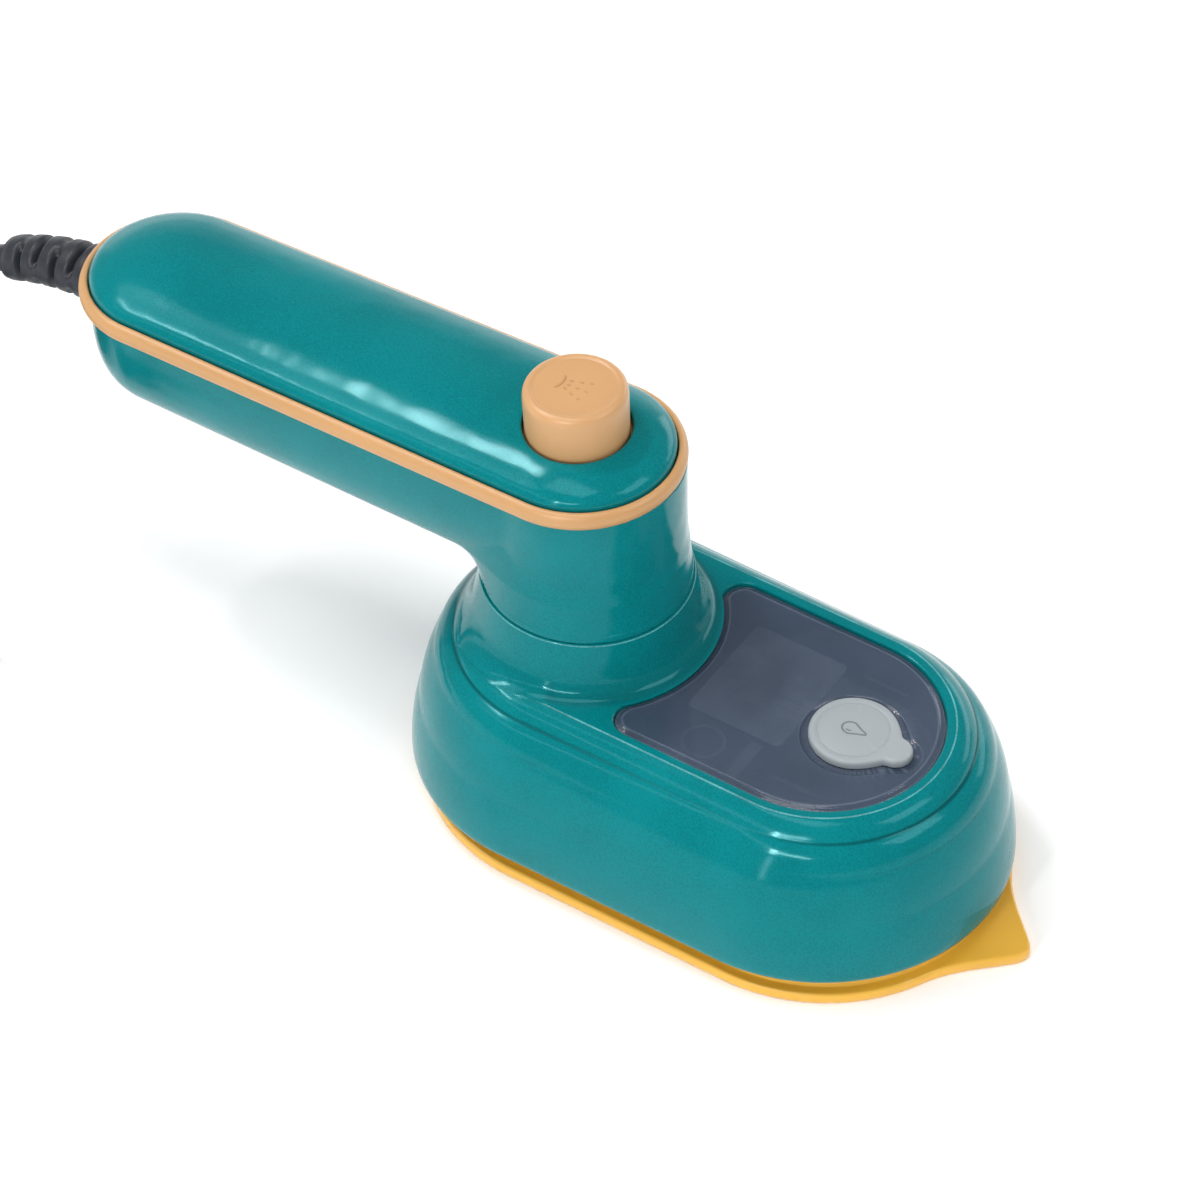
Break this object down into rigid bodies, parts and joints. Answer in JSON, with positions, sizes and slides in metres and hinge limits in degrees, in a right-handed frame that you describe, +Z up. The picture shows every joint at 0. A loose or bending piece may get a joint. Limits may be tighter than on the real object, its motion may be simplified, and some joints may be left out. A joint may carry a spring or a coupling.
{
  "type": "swivel-handle travel steam iron",
  "caption": "Small corded steam iron: pointed gold soleplate, teal tank housing with a smoked window and a filling plug, and a slim handle that swivels on a collar, with a steam button on top.",
  "frame": {"origin": "on the floor, under the middle of the iron's bounding box without its free cord", "axes": "+X towards the soleplate's nose, +Z up, sole on z = 0; the handle points to -X at rest"},
  "size_m": [0.3376, 0.1048, 0.0977],
  "materials": {
    "sole_gold": "satin gold coating",
    "cast_aluminium": "as cast",
    "lid_steel": "satin",
    "screw_steel": "zinc plated",
    "element_steel": "heat dulled",
    "spring_steel": "polished",
    "valve_brass": "turned",
    "shell_teal": "glossy",
    "handle_teal": "glossy",
    "tank_plastic": "translucent",
    "window_smoke": "polished translucent smoke",
    "plug_silicone": "soft matt",
    "tube_silicone": "soft",
    "trim_tan": "satin",
    "button_tan": "satin",
    "acetal_white": "satin",
    "sleeve_white": "braided glass sleeve",
    "wire_brown": "satin",
    "wire_blue": "satin",
    "relief_rubber": "matt",
    "cord_jacket": "satin",
    "mains_plug": "satin",
    "pin_brass": "nickel plated"
  },
  "bodies": {
    "head": {"head_shell": "shell_teal", "soleplate": "sole_gold", "steam_chamber_casting": "cast_aluminium", "steam_chamber_lid": "lid_steel", "lid_screw_1": "screw_steel", "lid_screw_2": "screw_steel", "lid_screw_3": "screw_steel", "lid_screw_4": "screw_steel", "heating_element": "element_steel", "thermostat": "lid_steel", "thermal_fuse": "sleeve_white", "heat_shield": "lid_steel", "water_tank": "tank_plastic", "tank_window": "window_smoke", "water_tube": "tube_silicone", "valve_body": "valve_brass", "valve_spring": "spring_steel"},
    "handle": {"handle_lower_shell": "handle_teal", "handle_trim_ring": "trim_tan", "handle_upper_shell": "handle_teal", "swivel_hub": "acetal_white", "retaining_ring": "spring_steel", "handle_screw_1": "screw_steel", "handle_screw_2": "screw_steel", "handle_screw_3": "screw_steel", "rod_guide": "acetal_white", "terminal_block": "acetal_white", "cord_clamp": "acetal_white", "mains_wire_right": "wire_brown", "mains_wire_left": "wire_blue", "element_lead_right": "sleeve_white", "element_lead_left": "sleeve_white", "button_spring": "spring_steel", "strain_relief": "relief_rubber", "power_cord": "cord_jacket", "cord_coil": "cord_jacket", "cord_tail": "cord_jacket", "plug_body": "mains_plug", "plug_pin_right": "pin_brass", "plug_pin_left": "pin_brass"},
    "button": {"steam_button": "button_tan", "push_rod": "acetal_white"},
    "valve": {"valve_plunger": "acetal_white"},
    "filler": {"fill_plug": "plug_silicone"}
  },
  "joints": [
    {"name": "handle_swivel", "type": "hinge", "parent": "head", "child": "handle", "pos_m": [0.0068, 0, 0.0508], "axis": [0, 0, 1], "range_deg": [0, 180]},
    {"name": "steam_button_press", "type": "slide", "parent": "handle", "child": "button", "axis": [0, 0, -1], "range_m": [0, 0.004], "stiffness_N_per_m": 600, "springref_m": -0.002, "deforming": ["button_spring"]},
    {"name": "valve_open", "type": "slide", "parent": "head", "child": "valve", "axis": [0, 0, -1], "range_m": [0, 0.004], "stiffness_N_per_m": 150, "springref_m": -0.001, "deforming": ["valve_spring"]},
    {"name": "fill_plug_lift", "type": "slide", "parent": "head", "child": "filler", "axis": [0, 0, 1], "range_m": [0, 0.012]}
  ],
  "couplings": [
    {"joint": "valve_open", "follows": "steam_button_press", "ratio": 1}
  ]
}
